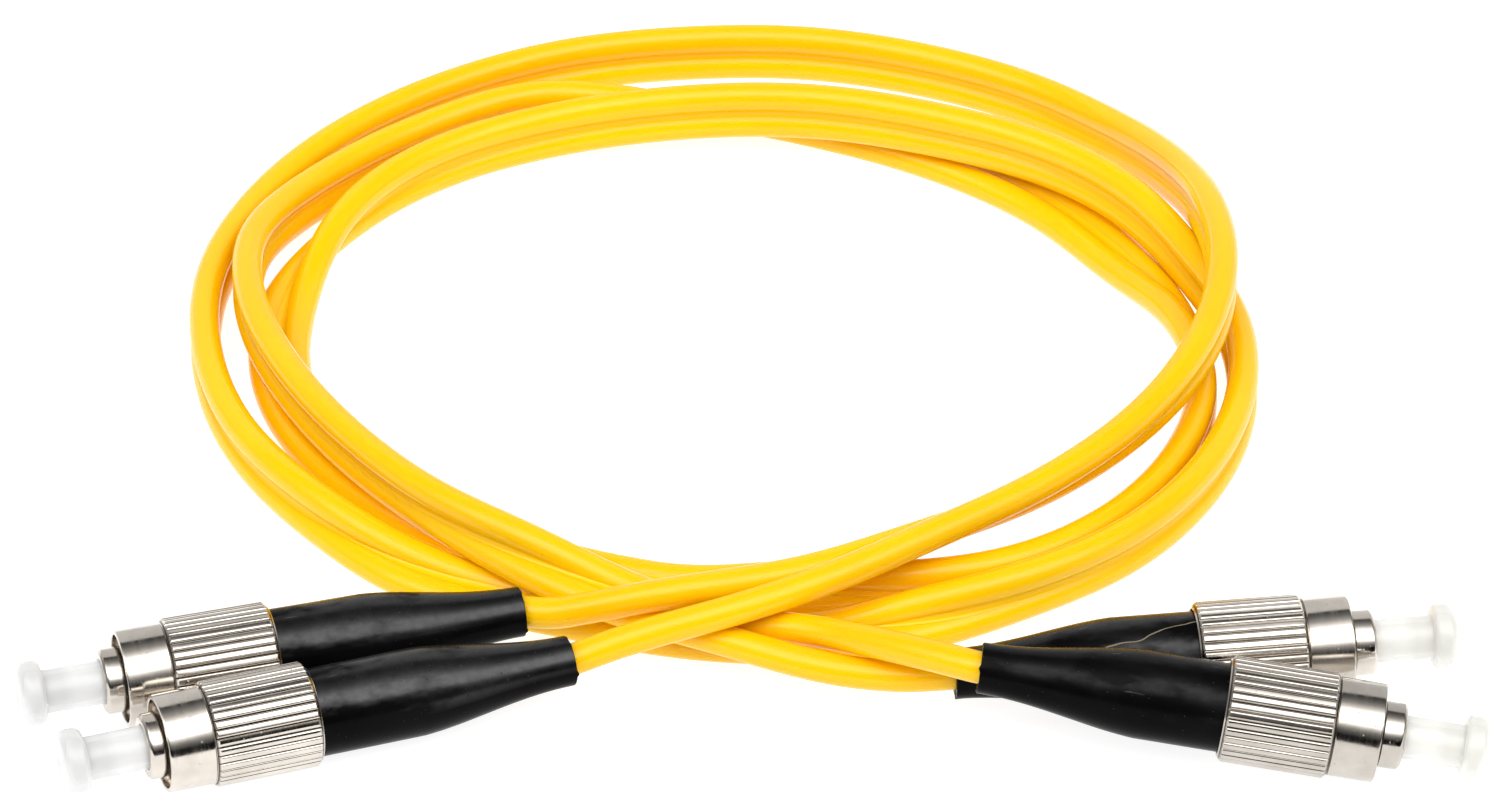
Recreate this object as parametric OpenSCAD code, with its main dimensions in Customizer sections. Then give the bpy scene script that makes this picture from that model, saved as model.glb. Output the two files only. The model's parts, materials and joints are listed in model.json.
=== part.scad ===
// Duplex fiber optic patch cord: a yellow twin cord wound into one flat coil,
// split at both ends into single leads, with a threaded round plug on each lead.
// Millimetres, +Z up. The cord and the plugs lie on the plane z = 0.
// The origin is under the middle of the four plugs.

/* [Coupling nut] */
// Diameter over the knurl
knurl_d = 9.8; // [9.6:0.1:10]
// Depth of one knurl tooth
knurl_depth = 0.26; // [0.15:0.01:0.3]
// Number of knurl teeth
knurl_teeth = 36; // [24:1:48]
// Length of the knurled band
knurl_len = 10.2; // [9:0.1:10.4]
// Diameter of the plain band in front of the knurl
nut_d = 9.1; // [8.9:0.1:9.3]
// Overall length of the nut
nut_len = 14.4; // [13.6:0.1:14.6]
// Minor diameter of the thread inside the nut
thread_d = 7.2; // [7.15:0.05:7.3]

/* [Plug frame and ferrule] */
// Outer diameter of the barrel
barrel_d = 6.1; // [6:0.05:6.15]
// Distance from the rear of a nut at its mark to the front of the barrel
barrel_front = 16.1; // [15.8:0.1:16.6]
// Inner diameter of the barrel
barrel_bore = 4.25; // [4.2:0.01:4.3]
// Width of the alignment key
key_w = 2; // [1.8:0.01:2.14]
// Diameter of the ceramic ferrule
ferrule_d = 2.5; // [2.499:0.001:2.501]
// Distance from the rear of a nut at its mark to the ferrule's polished end
ferrule_tip = 18.4; // [18:0.1:18.6]

/* [Dust cap] */
// Diameter of the cap's stem
cap_stem_d = 4.05; // [4:0.01:4.1]
// Diameter of the cap's round head
cap_head_d = 6.1; // [5.4:0.1:6.1]
// Length of the cap's round head
cap_head_len = 2.3; // [2:0.1:2.6]
// Distance from the rear of a nut at its mark to the back of the cap's head
cap_head_at = 21.6; // [21.2:0.1:22]

/* [Boot] */
// Diameter of the thick front of the boot
boot_d = 8.2; // [8:0.1:8.3]
// Diameter of the boot's cut tail
boot_tail_d = 4.7; // [4.5:0.1:5]
// Length of the boot
boot_len = 25.2; // [25:0.1:25.6]
// Length of the boot's straight front
boot_straight = 10.4; // [9:0.1:11]

/* [Cord] */
// Diameter of each of the two jackets
jacket_d = 3; // [2.8:0.1:3]
// Distance between the two jackets' centre lines
jacket_pitch = 3.1; // [3.1:0.1:3.2]
// Thickness of the web that joins the jackets
web_t = 1.2; // [0.8:0.1:1.6]

/* [Hidden] */
$fn = 64;
ENDS = ["left_front", "left_rear", "right_front", "right_rear"];
PIECES = [
    "dust_cap", "ferrule", "ferrule_holder", "ferrule_spring", "fiber_buffer", "plug_frame",
    "slip_washer", "coupling_nut", "back_body", "aramid_yarn", "crimp_sleeve", "boot"
];

// Each plug's mark, its heading, its tilt, how far its boot reaches back from the mark,
// and how far its loose nut has slid forward of the mark
plug_at = [[-40, -3.6, 4.9], [-44.3, 5.5, 4.9], [43.6, -4.7, 6.2], [41.6, 5.3, 4.9]];
plug_yaw = [199, 196, -6.2, 6];
plug_tilt = [0, 0, -7, 1];
boot_reach = [24.6, 23.8, 23, 23];
nut_slid = [0.2, -0.1, -0.5, -0.6];

// Places along a plug, measured forward from its mark
shoulder_rear = 4.3;
shoulder_front = 5.6;
washer_t = 0.3;
flange_rear = 6.3;
flange_front = 7.3;
stop_rear = 8.3;
stop_front = 9.2;
key_front = 13.4;
land_rear = 13.9;
holder_front = 8.25;
holder_step = 5.7;
holder_rear = 0.6;
ferrule_rear = 5.4;
spring_rear = 1.6;
frame_rear = 0.6;
body_rear = -1;
crimp_step = -6.8;
post_rear = -8;
crimp_rear = -11;
buffer_rear = -6.6;
cap_rear = 12.5;
cap_bore_end = 19.4;

// Diameters inside a plug
shoulder_bore = 6.5;
nut_rear_bore = 8.6;
nut_mouth_bore = 8.2;
flange_d = 6.9;
spring_bore = 4.2;
stop_bore = 2.9;
holder_d = 3.9;
holder_collar_d = 3;
holder_tail_d = 2;
spring_mean_d = 3.5;
wire_d = 0.4;
buffer_d = 0.9;
post_d = 3.6;
crimp_d = 4.9;
crimp_bore = 4.1;
crimp_neck_d = 4;
fit = 0.04;

// Middle of the twin cord from the left junction to the right one: x, y, z and the
// angle at which the pair stands, 0 lying flat and 90 on edge
route = [
    [4.5, 12, 8.5, 170],
    [16, 19, 8.5, 145],
    [27.5, 27, 8.5, 125],
    [37.5, 37.5, 9, 110],
    [44, 49, 10, 95],
    [46.5, 60, 11, 90],
    [46, 70, 10.5, 90],
    [43, 83.5, 7.4, 90],
    [37, 96.5, 4, 90],
    [29, 105, 3.1, 90],
    [18.5, 110.5, 3.1, 90],
    [6, 114, 3.1, 90],
    [-7, 114, 3.1, 90],
    [-19.5, 111.5, 3.1, 90],
    [-32, 105, 3.1, 90],
    [-42.5, 95.5, 3.1, 90],
    [-50, 83.5, 3.1, 90],
    [-54, 70, 3.1, 90],
    [-53.5, 55.5, 3.1, 90],
    [-49.5, 42.5, 3.1, 90],
    [-41.5, 30.5, 3.1, 80],
    [-31, 21.5, 2.1, 20],
    [-19, 17, 1.6, 0],
    [-6, 13, 1.6, 0],
    [6, 12.2, 1.6, 0],
    [15, 13, 3, 60],
    [25, 16, 4.2, 90],
    [36, 23.5, 4.4, 90],
    [44, 35, 4.4, 90],
    [48, 48.5, 4.2, 90],
    [47.5, 62, 4.2, 90],
    [44.5, 70, 4.6, 90],
    [39.5, 78.5, 6.2, 90],
    [31, 87.5, 6.4, 90],
    [19.5, 93.5, 6.4, 90],
    [6, 97.5, 6.3, 90],
    [-7.5, 99.5, 4.8, 90],
    [-21.5, 98.5, 3.1, 90],
    [-33.5, 91.5, 3.1, 90],
    [-42, 80.5, 3, 70],
    [-46.5, 67.5, 1.7, 5],
    [-46, 53.5, 1.6, 0],
    [-40.5, 41, 1.6, 0],
    [-31, 31, 1.6, 0],
    [-19, 24, 1.6, 0],
    [-6, 19.8, 1.6, 0],
    [5, 18.4, 2.7, 45],
    [14.5, 18, 3.1, 90],
    [24, 20, 3.1, 90],
    [34, 27, 3.1, 90],
    [41, 37.5, 3.1, 90],
    [44.2, 50, 3.1, 90],
    [43, 62.5, 2.9, 60],
    [38, 75, 1.7, 5],
    [30, 87, 1.6, 0],
    [19, 96, 1.6, 0],
    [6, 102.5, 1.6, 0],
    [-8, 105, 2.2, 25],
    [-22, 103.5, 3.1, 90],
    [-34.5, 96.5, 3.1, 90],
    [-44.5, 86, 3.5, 90],
    [-50, 73, 5.4, 90],
    [-49.3, 60, 6.4, 90],
    [-45, 48, 6.4, 90],
    [-38, 36, 6.4, 90],
    [-29.5, 25.8, 6.6, 90],
    [-21, 19, 6.3, 60],
    [-12, 14, 4.9, 10],
    [-1.5, 9, 4.8, 0]
];

// Middle of each single lead between the junction and its boot, in the order of ENDS
lead_route = [
    [[-3, 7.3, 8], [-11, 6.2, 6.2]],
    [[-4.5, 10.8, 8.5], [-10, 10.1, 8], [-14, 10.5, 6.7], [-17.5, 11.2, 5.2]],
    [[6, 8, 5.7], [13.5, 2.1, 8.1], [17.4, -0.3, 8.7]],
    [[6, 4.4, 4.2], [12, 3.1, 4]]
];

function unit(v) = v / norm(v);
function xyz(p) = [p.x, p.y, p.z];
function heading(pts, i) =
    unit(xyz(pts[min(i + 1, len(pts) - 1)]) - xyz(pts[max(i - 1, 0)]));
function left_of(t) = unit(cross([0, 0, 1], t));
function across(t, roll) = cos(roll) * left_of(t) + sin(roll) * cross(t, left_of(t));
function plug_axis(k) = [
    cos(plug_tilt[k]) * cos(plug_yaw[k]),
    cos(plug_tilt[k]) * sin(plug_yaw[k]),
    sin(plug_tilt[k])
];

// Outlines of the twin cord and of one jacket, as [across, along the other way] pairs
twin_outline = [
    for (side = [0, 180])
        each concat(
            [for (a = [-90:45:90]) [cos(side) * jacket_pitch / 2 + jacket_d / 2 * cos(a + side),
                                    jacket_d / 2 * sin(a + side)]],
            [[0, cos(side) * web_t / 2]]
        )
];
jacket_outline = [for (a = [0:45:315]) jacket_d / 2 * [cos(a), sin(a)]];

// One ring of points around p, square to the heading t
function ring(p, t, roll, outline) =
    let (n = across(t, roll), m = cross(t, n)) [for (q = outline) p + q.x * n + q.y * m];

// Closed solid through rings that all have the same number of points
module skin(rings) {
    sides = len(rings[0]);
    last = len(rings) - 1;
    polyhedron(
        points = [for (r = rings) each r],
        faces = concat(
            [[for (j = [sides - 1:-1:0]) j]],
            [for (i = [0:last - 1]) for (j = [0:sides - 1])
                each let (a = i * sides + j, b = i * sides + (j + 1) % sides)
                    [[a, b, b + sides], [a, b + sides, a + sides]]],
            [[for (j = [0:sides - 1]) last * sides + j]]
        ),
        convexity = 10
    );
}

// Ring between two places along a plug, with an outer and an inner diameter
module tube(from, to, outer, inner) {
    translate([0, 0, from])
        difference() {
            cylinder(h = to - from, d = outer);
            translate([0, 0, -1]) cylinder(h = to - from + 2, d = inner);
        }
}

// Radius of the boot's outside at a distance x behind its straight front
function boot_r(x) =
    let (s = x / (boot_len - boot_straight), fall = 1 - pow(1 - s, 2.2) * (1 + 2.2 * s))
        boot_d / 2 + (boot_tail_d - boot_d) / 2 * fall;

// Height of the spring's wire at a turn count, with one closed turn at each end
function spring_z(turn, turns, length) =
    let (closed = wire_d * 1.1, open = (length - wire_d - 2 * closed) / (turns - 2))
        wire_d / 2 + closed * min(turn, 1) + open * max(min(turn - 1, turns - 2), 0)
        + closed * max(turn - turns + 1, 0);

module at_plug(k) {
    translate(plug_at[k]) rotate([0, 90 - plug_tilt[k], plug_yaw[k]]) children();
}

module at_nut(k) {
    at_plug(k) translate([0, 0, nut_slid[k]]) children();
}

module dust_cap() {
    edge = 0.35;
    stem_r = cap_stem_d / 2;
    head_r = cap_head_d / 2;
    front = cap_head_at + cap_head_len;
    color([0.93, 0.94, 0.93, 0.75])
        difference() {
            rotate_extrude()
                polygon([
                    [0, cap_rear], [stem_r - 0.2, cap_rear], [stem_r, cap_rear + 0.4],
                    [stem_r, cap_head_at], [head_r - edge, cap_head_at],
                    [head_r, cap_head_at + edge], [head_r, front - edge],
                    [head_r - edge, front], [0, front]
                ]);
            translate([0, 0, cap_rear - 1])
                cylinder(h = cap_bore_end - cap_rear + 1, d = ferrule_d + fit * 2);
        }
}

module ferrule() {
    r = ferrule_d / 2;
    color("ghostwhite")
        rotate_extrude()
            polygon([
                [0, ferrule_rear], [r, ferrule_rear], [r, ferrule_tip - 0.7],
                [r - 0.35, ferrule_tip], [0, ferrule_tip]
            ]);
}

module ferrule_holder() {
    collar_rear = ferrule_rear - 0.3;
    color("silver")
        difference() {
            union() {
                translate([0, 0, holder_step])
                    cylinder(h = holder_front - holder_step, d = holder_d);
                translate([0, 0, collar_rear])
                    cylinder(h = holder_step - collar_rear, d = holder_collar_d);
                translate([0, 0, holder_rear])
                    cylinder(h = collar_rear - holder_rear, d = holder_tail_d);
            }
            translate([0, 0, ferrule_rear]) cylinder(h = holder_front, d = ferrule_d + fit);
            translate([0, 0, holder_rear - 1]) cylinder(h = holder_front, d = buffer_d + 0.1);
        }
}

module ferrule_spring() {
    turns = 6;
    steps = 14;
    length = holder_step - spring_rear;
    path = [
        for (i = [0:turns * steps])
            let (a = i * 360 / steps, r = spring_mean_d / 2)
                [r * cos(a), r * sin(a), spring_rear + spring_z(i / steps, turns, length)]
    ];
    wire = [for (a = [0:60:300]) (wire_d / 2 - 0.01) * [cos(a), sin(a)]];
    color("lightsteelblue")
        skin([for (i = [0:len(path) - 1]) ring(path[i], heading(path, i), 0, wire)]);
}

module fiber_buffer() {
    color("white")
        translate([0, 0, buffer_rear])
            cylinder(h = ferrule_rear - buffer_rear, d = buffer_d, $fn = 24);
}

module plug_frame() {
    bevel = 0.3;
    relief = 0.2;
    r = barrel_d / 2;
    color("silver")
        difference() {
            union() {
                rotate_extrude()
                    polygon([
                        [0, frame_rear], [r, frame_rear], [r, flange_rear],
                        [flange_d / 2, flange_rear], [flange_d / 2, flange_front],
                        [r - relief, flange_front], [r - relief, land_rear],
                        [r, land_rear + relief], [r, barrel_front - bevel],
                        [r - bevel, barrel_front], [0, barrel_front]
                    ]);
                translate([-flange_d / 2 + 0.05, -key_w / 2, flange_front - 0.5])
                    cube([flange_d / 2 - barrel_bore / 2 - 0.2, key_w, key_front - flange_front + 0.5]);
            }
            translate([0, 0, frame_rear - 1])
                cylinder(h = stop_rear - frame_rear + 1, d = spring_bore);
            translate([0, 0, frame_rear]) cylinder(h = barrel_front, d = stop_bore);
            translate([0, 0, stop_front]) cylinder(h = barrel_front, d = barrel_bore);
        }
}

module slip_washer() {
    color("white")
        tube(shoulder_front, shoulder_front + washer_t, thread_d - 0.2, barrel_d + 0.2);
}

module coupling_nut() {
    root_r = knurl_d / 2 - knurl_depth;
    chamfer = 0.45;
    pitch = 360 / knurl_teeth;
    color("silver")
        difference() {
            union() {
                intersection() {
                    linear_extrude(height = knurl_len)
                        polygon([
                            for (i = [0:knurl_teeth - 1]) for (q = [[-0.14, 1], [0.14, 1], [0.5, 0]])
                                (root_r + knurl_depth * q.y)
                                    * [cos((i + q.x) * pitch), sin((i + q.x) * pitch)]
                        ]);
                    rotate_extrude()
                        polygon([
                            [0, 0], [knurl_d / 2 - chamfer, 0], [knurl_d / 2, chamfer],
                            [knurl_d / 2, knurl_len - chamfer],
                            [knurl_d / 2 - chamfer, knurl_len], [0, knurl_len]
                        ]);
                }
                rotate_extrude()
                    polygon([
                        [0, knurl_len - 1], [nut_d / 2, knurl_len - 1],
                        [nut_d / 2, nut_len - 0.25], [nut_d / 2 - 0.25, nut_len], [0, nut_len]
                    ]);
            }
            translate([0, 0, -1]) cylinder(h = shoulder_rear + 1, d = nut_rear_bore);
            translate([0, 0, 1]) cylinder(h = nut_len, d = shoulder_bore);
            translate([0, 0, shoulder_front]) cylinder(h = nut_len, d = thread_d);
            translate([0, 0, nut_len - 1]) cylinder(h = 2, d = nut_mouth_bore);
        }
}

module back_body() {
    color("lightgray")
        difference() {
            union() {
                translate([0, 0, frame_rear])
                    cylinder(h = spring_rear - frame_rear, d = spring_bore - fit);
                translate([0, 0, body_rear])
                    cylinder(h = frame_rear - body_rear, d = barrel_d);
                translate([0, 0, post_rear])
                    cylinder(h = body_rear - post_rear, d = post_d);
            }
            translate([0, 0, post_rear - 1])
                cylinder(h = spring_rear - post_rear + 2, d = holder_tail_d + 0.3);
        }
}

module aramid_yarn() {
    color("khaki")
        tube(crimp_step, body_rear, crimp_bore - fit, post_d + fit);
}

module crimp_sleeve() {
    color("darkgray")
        union() {
            tube(crimp_step, body_rear, crimp_d, crimp_bore);
            tube(crimp_step - 0.6, crimp_step, crimp_d, post_d + fit);
            tube(crimp_rear, crimp_step - 0.6, crimp_neck_d + 0.3, post_d + fit);
        }
}

module boot(k) {
    front = boot_len - boot_reach[k];
    steps = 16;
    taper = boot_len - boot_straight;
    color([0.07, 0.07, 0.07])
        difference() {
            rotate_extrude()
                polygon(concat(
                    [[0, front], [boot_d / 2 - 0.2, front], [boot_d / 2, front - 0.2]],
                    [for (i = [0:steps])
                        [boot_r(taper * i / steps), front - boot_straight - taper * i / steps]],
                    [[0, front - boot_len]]
                ));
            translate([0, 0, body_rear - 0.2]) cylinder(h = 10, d = barrel_d + 0.3);
            translate([0, 0, crimp_rear - 0.2]) cylinder(h = 12, d = crimp_d + 0.1);
            translate([0, 0, -boot_len - 1]) cylinder(h = boot_len, d = jacket_d + 0.1);
        }
}

module duplex_cord() {
    color([1, 0.82, 0.08])
        skin([
            for (i = [0:len(route) - 1])
                ring(xyz(route[i]), heading(route, i), route[i][3], twin_outline)
        ]);
}

// A single lead: from its jacket's end at the junction to the crimp post of its plug
module lead(k) {
    from_left = k < 2;
    end = from_left ? 0 : len(route) - 1;
    t_end = heading(route, end);
    jacket = k % 2 == 0 ? 1 : -1;
    start = xyz(route[end]) + jacket * jacket_pitch / 2 * across(t_end, route[end][3]);
    tail = plug_at[k] - boot_reach[k] * plug_axis(k);
    post = plug_at[k] + post_rear * plug_axis(k);
    path = concat([start], lead_route[k], [tail, post]);
    last = len(path) - 1;
    color([1, 0.82, 0.08])
        skin([
            for (i = [0:last])
                let (t = i == 0 ? (from_left ? -t_end : t_end)
                                : i >= last - 1 ? plug_axis(k) : heading(path, i))
                    ring(path[i], t, 0, jacket_outline)
        ]);
}

duplex_cord();
for (k = [0:3]) {
    lead(k);
    at_plug(k) dust_cap();
    at_plug(k) ferrule();
    at_plug(k) ferrule_holder();
    at_plug(k) ferrule_spring();
    at_plug(k) fiber_buffer();
    at_plug(k) plug_frame();
    at_nut(k) slip_washer();
    at_nut(k) coupling_nut();
    at_plug(k) back_body();
    at_plug(k) aramid_yarn();
    at_plug(k) crimp_sleeve();
    at_plug(k) boot(k);
}
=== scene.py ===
import json
import math

import bpy
import numpy as np
from mathutils import Matrix, Vector
from mathutils.kdtree import KDTree


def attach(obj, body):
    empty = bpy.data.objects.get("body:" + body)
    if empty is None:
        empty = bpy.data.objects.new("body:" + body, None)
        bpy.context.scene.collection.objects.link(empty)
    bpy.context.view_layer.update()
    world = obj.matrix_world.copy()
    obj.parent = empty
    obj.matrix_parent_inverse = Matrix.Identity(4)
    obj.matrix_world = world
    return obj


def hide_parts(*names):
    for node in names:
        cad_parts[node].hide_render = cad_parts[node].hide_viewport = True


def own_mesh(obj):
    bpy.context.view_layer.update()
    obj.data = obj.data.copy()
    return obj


# Looks of a duplex fiber optic patch cord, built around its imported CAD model. Metres, +Z up.

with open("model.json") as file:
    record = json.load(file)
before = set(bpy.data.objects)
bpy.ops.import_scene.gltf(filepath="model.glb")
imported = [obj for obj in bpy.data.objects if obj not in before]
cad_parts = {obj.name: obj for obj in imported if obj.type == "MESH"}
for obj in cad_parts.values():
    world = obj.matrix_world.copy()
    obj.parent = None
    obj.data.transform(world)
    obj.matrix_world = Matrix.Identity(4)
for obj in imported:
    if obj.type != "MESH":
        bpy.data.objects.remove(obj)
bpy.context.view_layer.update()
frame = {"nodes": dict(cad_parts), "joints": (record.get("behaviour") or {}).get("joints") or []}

MM = 0.001
ENDS = ("left_front", "left_rear", "right_front", "right_rear")

# The cord, as in the CAD source
JACKET_D = 3.0 * MM
JACKET_PITCH = 3.1 * MM

# Middle of the twin cord from the left junction to the right one: x, y, z in metres and
# the angle at which the pair stands, 0 lying flat and 90 on edge
ROUTE = [
    (0.0045, 0.012, 0.0085, 170),
    (0.016, 0.019, 0.0085, 145),
    (0.0275, 0.027, 0.0085, 125),
    (0.0375, 0.0375, 0.009, 110),
    (0.044, 0.049, 0.010, 95),
    (0.0465, 0.060, 0.011, 90),
    (0.046, 0.070, 0.0105, 90),
    (0.043, 0.0835, 0.0074, 90),
    (0.037, 0.0965, 0.004, 90),
    (0.029, 0.105, 0.0031, 90),
    (0.0185, 0.1105, 0.0031, 90),
    (0.006, 0.114, 0.0031, 90),
    (-0.007, 0.114, 0.0031, 90),
    (-0.0195, 0.1115, 0.0031, 90),
    (-0.032, 0.105, 0.0031, 90),
    (-0.0425, 0.0955, 0.0031, 90),
    (-0.050, 0.0835, 0.0031, 90),
    (-0.054, 0.070, 0.0031, 90),
    (-0.0535, 0.0555, 0.0031, 90),
    (-0.0495, 0.0425, 0.0031, 90),
    (-0.0415, 0.0305, 0.0031, 80),
    (-0.031, 0.0215, 0.0021, 20),
    (-0.019, 0.017, 0.0016, 0),
    (-0.006, 0.013, 0.0016, 0),
    (0.006, 0.0122, 0.0016, 0),
    (0.015, 0.013, 0.003, 60),
    (0.025, 0.016, 0.0042, 90),
    (0.036, 0.0235, 0.0044, 90),
    (0.044, 0.035, 0.0044, 90),
    (0.048, 0.0485, 0.0042, 90),
    (0.0475, 0.062, 0.0042, 90),
    (0.0445, 0.070, 0.0046, 90),
    (0.0395, 0.0785, 0.0062, 90),
    (0.031, 0.0875, 0.0064, 90),
    (0.0195, 0.0935, 0.0064, 90),
    (0.006, 0.0975, 0.0063, 90),
    (-0.0075, 0.0995, 0.0048, 90),
    (-0.0215, 0.0985, 0.0031, 90),
    (-0.0335, 0.0915, 0.0031, 90),
    (-0.042, 0.0805, 0.003, 70),
    (-0.0465, 0.0675, 0.0017, 5),
    (-0.046, 0.0535, 0.0016, 0),
    (-0.0405, 0.041, 0.0016, 0),
    (-0.031, 0.031, 0.0016, 0),
    (-0.019, 0.024, 0.0016, 0),
    (-0.006, 0.0198, 0.0016, 0),
    (0.005, 0.0184, 0.0027, 45),
    (0.0145, 0.018, 0.0031, 90),
    (0.024, 0.020, 0.0031, 90),
    (0.034, 0.027, 0.0031, 90),
    (0.041, 0.0375, 0.0031, 90),
    (0.0442, 0.050, 0.0031, 90),
    (0.043, 0.0625, 0.0029, 60),
    (0.038, 0.075, 0.0017, 5),
    (0.030, 0.087, 0.0016, 0),
    (0.019, 0.096, 0.0016, 0),
    (0.006, 0.1025, 0.0016, 0),
    (-0.008, 0.105, 0.0022, 25),
    (-0.022, 0.1035, 0.0031, 90),
    (-0.0345, 0.0965, 0.0031, 90),
    (-0.0445, 0.086, 0.0035, 90),
    (-0.050, 0.073, 0.0054, 90),
    (-0.0493, 0.060, 0.0064, 90),
    (-0.045, 0.048, 0.0064, 90),
    (-0.038, 0.036, 0.0064, 90),
    (-0.0295, 0.0258, 0.0066, 90),
    (-0.021, 0.019, 0.0063, 60),
    (-0.012, 0.014, 0.0049, 10),
    (-0.0015, 0.009, 0.0048, 0),
]

# Middle of each single lead from the junction to its boot, in metres
LEAD_ROUTE = {
    "left_front": [(-0.003, 0.0073, 0.008), (-0.011, 0.0062, 0.0062)],
    "left_rear": [
        (-0.0045, 0.0108, 0.0085),
        (-0.010, 0.0101, 0.008),
        (-0.014, 0.0105, 0.0067),
        (-0.0175, 0.0112, 0.0052),
    ],
    "right_front": [(0.006, 0.008, 0.0057), (0.0135, 0.0021, 0.0081), (0.0174, -0.0003, 0.0087)],
    "right_rear": [(0.006, 0.0044, 0.0042), (0.012, 0.0031, 0.004)],
}

# ---------------------------------------------------------------- camera, light, floor

CAMERA_AIM = (0, 0.054, 0)
CAMERA_DISTANCE = 0.7
CAMERA_ELEVATION = math.radians(34.5)
CAMERA_LENS = 170.3

STUDIO_LIGHT = 3.7
# Brightness by the angle above the horizon in degrees, from the front over the top to the back:
# black over the table's edge, a soft box, a ceiling that fades out, and a dim backdrop
STUDIO = (
    (0, 0.0),
    (17, 0.0),
    (19, 0.02),
    (27, 0.05),
    (34, 0.12),
    (41, 0.35),
    (48, 1.0),
    (74, 1.0),
    (86, 0.35),
    (98, 0.12),
    (110, 0.05),
    (125, 0.01),
    (129, 0.2),
    (180, 0.22),
)
# How far to the sides the soft box reaches, as the X of the direction, and what is beyond it
STUDIO_SIDE = (0.72, 0.9)
SIDE_COLOR = (0.1, 0.1, 0.1, 1)
BLUE_SHARE = 0.99

FLOOR_HALF = 3.0
FLOOR_COLOR = (0.4, 0.4, 0.4, 1)
FLOOR_GLOW = 0.88

# Sockets of a colour Mix node
MIX_FIRST, MIX_SECOND, MIX_RESULT = 6, 7, 2


def add_node(tree, kind, **settings):
    """A new node with some of its settings given."""
    node = tree.nodes.new(kind)
    for key, value in settings.items():
        setattr(node, key, value)
    return node


def make_camera():
    """The camera at the viewing angle of a product picture: level with X, 34.5 degrees down."""
    data = bpy.data.cameras.new("camera")
    data.sensor_width = 36
    data.lens = CAMERA_LENS
    data.clip_start = 0.05
    data.clip_end = 10
    camera = bpy.data.objects.new("camera", data)
    bpy.context.scene.collection.objects.link(camera)
    back = Vector((0, -math.cos(CAMERA_ELEVATION), math.sin(CAMERA_ELEVATION)))
    camera.location = Vector(CAMERA_AIM) + CAMERA_DISTANCE * back
    camera.rotation_euler = (math.pi / 2 - CAMERA_ELEVATION, 0, 0)
    bpy.context.scene.camera = camera


def make_world():
    """The studio around the object: STUDIO as a ramp, dimmed to the left and right."""
    world = bpy.data.worlds.new("studio")
    bpy.context.scene.world = world
    world.use_nodes = True
    tree = world.node_tree
    background = tree.nodes["Background"]
    place = add_node(tree, "ShaderNodeTexCoord")
    split = add_node(tree, "ShaderNodeSeparateXYZ")
    front = add_node(tree, "ShaderNodeMath", operation="MULTIPLY")
    front.inputs[1].default_value = -1
    angle = add_node(tree, "ShaderNodeMath", operation="ARCTAN2")
    turn = add_node(tree, "ShaderNodeMath", operation="DIVIDE")
    turn.inputs[1].default_value = math.pi
    ramp = add_node(tree, "ShaderNodeValToRGB")
    steps = ramp.color_ramp.elements
    while len(steps) < len(STUDIO):
        steps.new(0.5)
    for step, (degrees, level) in zip(steps, STUDIO):
        step.position = degrees / 180
        step.color = (level, level, level * BLUE_SHARE, 1)
    sides = add_node(tree, "ShaderNodeMath", operation="ABSOLUTE")
    dim = add_node(tree, "ShaderNodeMapRange")
    dim.inputs["From Min"].default_value, dim.inputs["From Max"].default_value = STUDIO_SIDE
    shade = add_node(tree, "ShaderNodeMix", data_type="RGBA")
    shade.inputs[MIX_SECOND].default_value = SIDE_COLOR
    for output, socket in (
        (place.outputs["Generated"], split.inputs[0]),
        (split.outputs["Y"], front.inputs[0]),
        (split.outputs["Z"], angle.inputs[0]),
        (front.outputs[0], angle.inputs[1]),
        (angle.outputs[0], turn.inputs[0]),
        (turn.outputs[0], ramp.inputs[0]),
        (split.outputs["X"], sides.inputs[0]),
        (sides.outputs[0], dim.inputs["Value"]),
        (dim.outputs["Result"], shade.inputs[0]),
        (ramp.outputs[0], shade.inputs[MIX_FIRST]),
        (shade.outputs[MIX_RESULT], background.inputs[0]),
    ):
        tree.links.new(output, socket)
    background.inputs[1].default_value = STUDIO_LIGHT


def make_stage():
    """A plain pale floor that glows a little, so it stays nearly white around the object."""
    data = bpy.data.meshes.new("floor")
    corners = [(-1, -1), (1, -1), (1, 1), (-1, 1)]
    data.from_pydata([(FLOOR_HALF * x, FLOOR_HALF * y, 0) for x, y in corners], [], [(0, 1, 2, 3)])
    floor = bpy.data.objects.new("floor", data)
    bpy.context.scene.collection.objects.link(floor)
    mat = bpy.data.materials.new("floor_white")
    mat.use_nodes = True
    shader = mat.node_tree.nodes["Principled BSDF"]
    shader.inputs["Base Color"].default_value = FLOOR_COLOR
    shader.inputs["Roughness"].default_value = 0.9
    shader.inputs["Specular IOR Level"].default_value = 0.1
    shader.inputs["Emission Color"].default_value = (1, 1, 1, 1)
    shader.inputs["Emission Strength"].default_value = FLOOR_GLOW
    data.materials.append(mat)


# ---------------------------------------------------------------- curves and tubes


def heading(points, i):
    """The direction of a path at its point i."""
    ahead = points[min(i + 1, len(points) - 1)]
    behind = points[max(i - 1, 0)]
    return (ahead - behind).normalized()


def across(direction, roll):
    """The way from one jacket to the other where the pair stands at this angle."""
    left = Vector((0, 0, 1)).cross(direction).normalized()
    up = direction.cross(left)
    return math.cos(math.radians(roll)) * left + math.sin(math.radians(roll)) * up


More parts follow.
